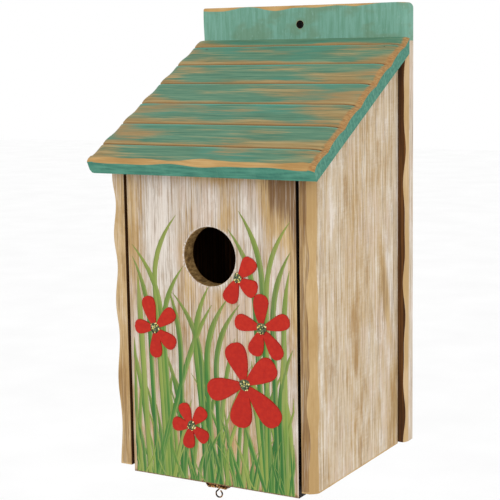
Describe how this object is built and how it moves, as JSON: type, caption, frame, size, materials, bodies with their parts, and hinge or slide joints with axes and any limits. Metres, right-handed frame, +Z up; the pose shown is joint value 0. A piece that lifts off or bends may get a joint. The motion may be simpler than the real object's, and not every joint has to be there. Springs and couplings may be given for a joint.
{
  "type": "birdhouse",
  "caption": "Wall-hung wooden nest box with a sloping grooved roof, a round entrance, a top-hung front that swings up, and a brass turn button.",
  "frame": {"origin": "centre of the hanging hole on the wall plane, which is the back board's rear face", "axes": "+Y into the wall (the front faces -Y), +Z up, +X to the right of someone facing the front"},
  "size_m": [0.167, 0.1555, 0.3236],
  "materials": {
    "limewashed_pine": "matt, brushed limewash over pine",
    "raw_pine": "matt, bare sawn pine",
    "painted_front": "matt limewash with hand-painted grass and flowers",
    "worn_green_paint": "matt green paint, sanded through along its edges",
    "nail_steel": "dull, darkened",
    "brass": "aged satin"
  },
  "bodies": {
    "box": {"back_board": "limewashed_pine", "side_panel_left": "limewashed_pine", "side_panel_right": "limewashed_pine", "floor_board": "raw_pine", "roof_board": "worn_green_paint", "roof_nail_front_left": "nail_steel", "roof_nail_front_right": "nail_steel", "roof_nail_back_left": "nail_steel", "roof_nail_back_right": "nail_steel", "floor_nail_front_left": "nail_steel", "floor_nail_front_right": "nail_steel", "floor_nail_back_left": "nail_steel", "floor_nail_back_right": "nail_steel", "back_nail_left_1": "nail_steel", "back_nail_left_2": "nail_steel", "back_nail_left_3": "nail_steel", "back_nail_right_1": "nail_steel", "back_nail_right_2": "nail_steel", "back_nail_right_3": "nail_steel", "hinge_nail_left": "nail_steel", "hinge_nail_right": "nail_steel", "keeper_pin": "brass"},
    "front": {"front_door": "painted_front", "latch_spacer": "brass", "latch_screw_eye": "brass"},
    "button": {"latch_button": "brass"}
  },
  "joints": [
    {"name": "front_swing", "type": "hinge", "parent": "box", "child": "front", "pos_m": [0, -0.1331, -0.10438], "axis": [-1, 0, 0], "range_deg": [0, 90]},
    {"name": "button_turn", "type": "hinge", "parent": "front", "child": "button", "pos_m": [0, -0.1332, -0.3021], "axis": [0, 0, 1], "range_deg": [-90, 90]}
  ]
}
